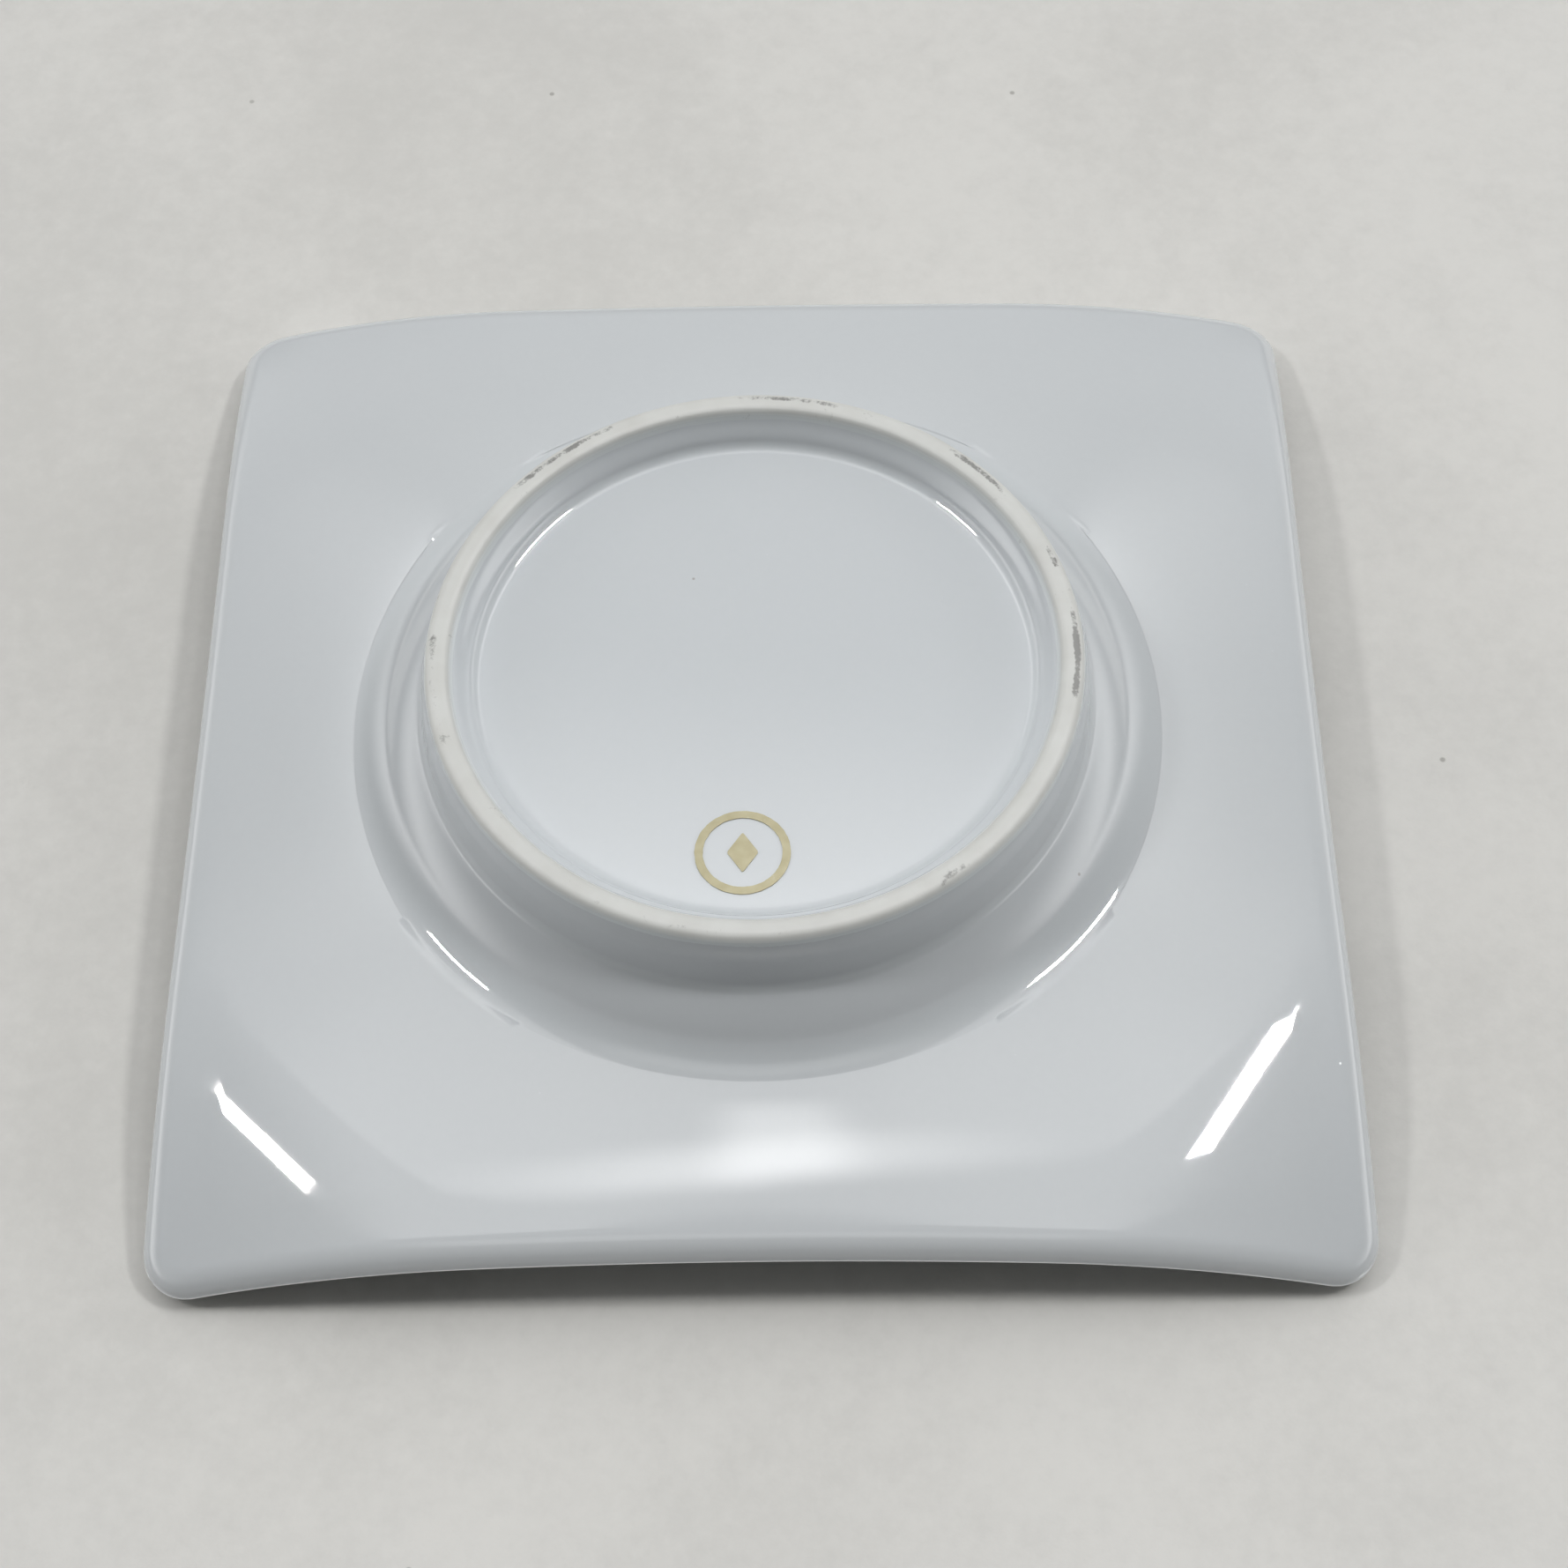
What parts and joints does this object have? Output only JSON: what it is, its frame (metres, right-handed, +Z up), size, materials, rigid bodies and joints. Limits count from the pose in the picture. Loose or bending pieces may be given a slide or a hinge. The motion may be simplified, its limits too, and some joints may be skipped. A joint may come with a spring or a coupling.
{
  "type": "soy sauce dish",
  "caption": "Small square white porcelain soy sauce dish with raised corners, a round shallow well and a round foot ring with a bare seat.",
  "frame": {"origin": "middle of the foot ring's seat, where the dish stands", "axes": "+Z up along the axis of the well, X and Y along the sides of the square"},
  "size_m": [0.1, 0.1, 0.02],
  "materials": {
    "porcelain": "matte",
    "glaze": "gloss",
    "gold_print": "satin"
  },
  "bodies": {
    "root": {"porcelain_body": "porcelain", "foot_ring": "porcelain", "upper_glaze": "glaze", "under_glaze": "glaze", "recess_glaze": "glaze", "mark_ring": "gold_print", "mark_lozenge": "gold_print"}
  },
  "joints": []
}
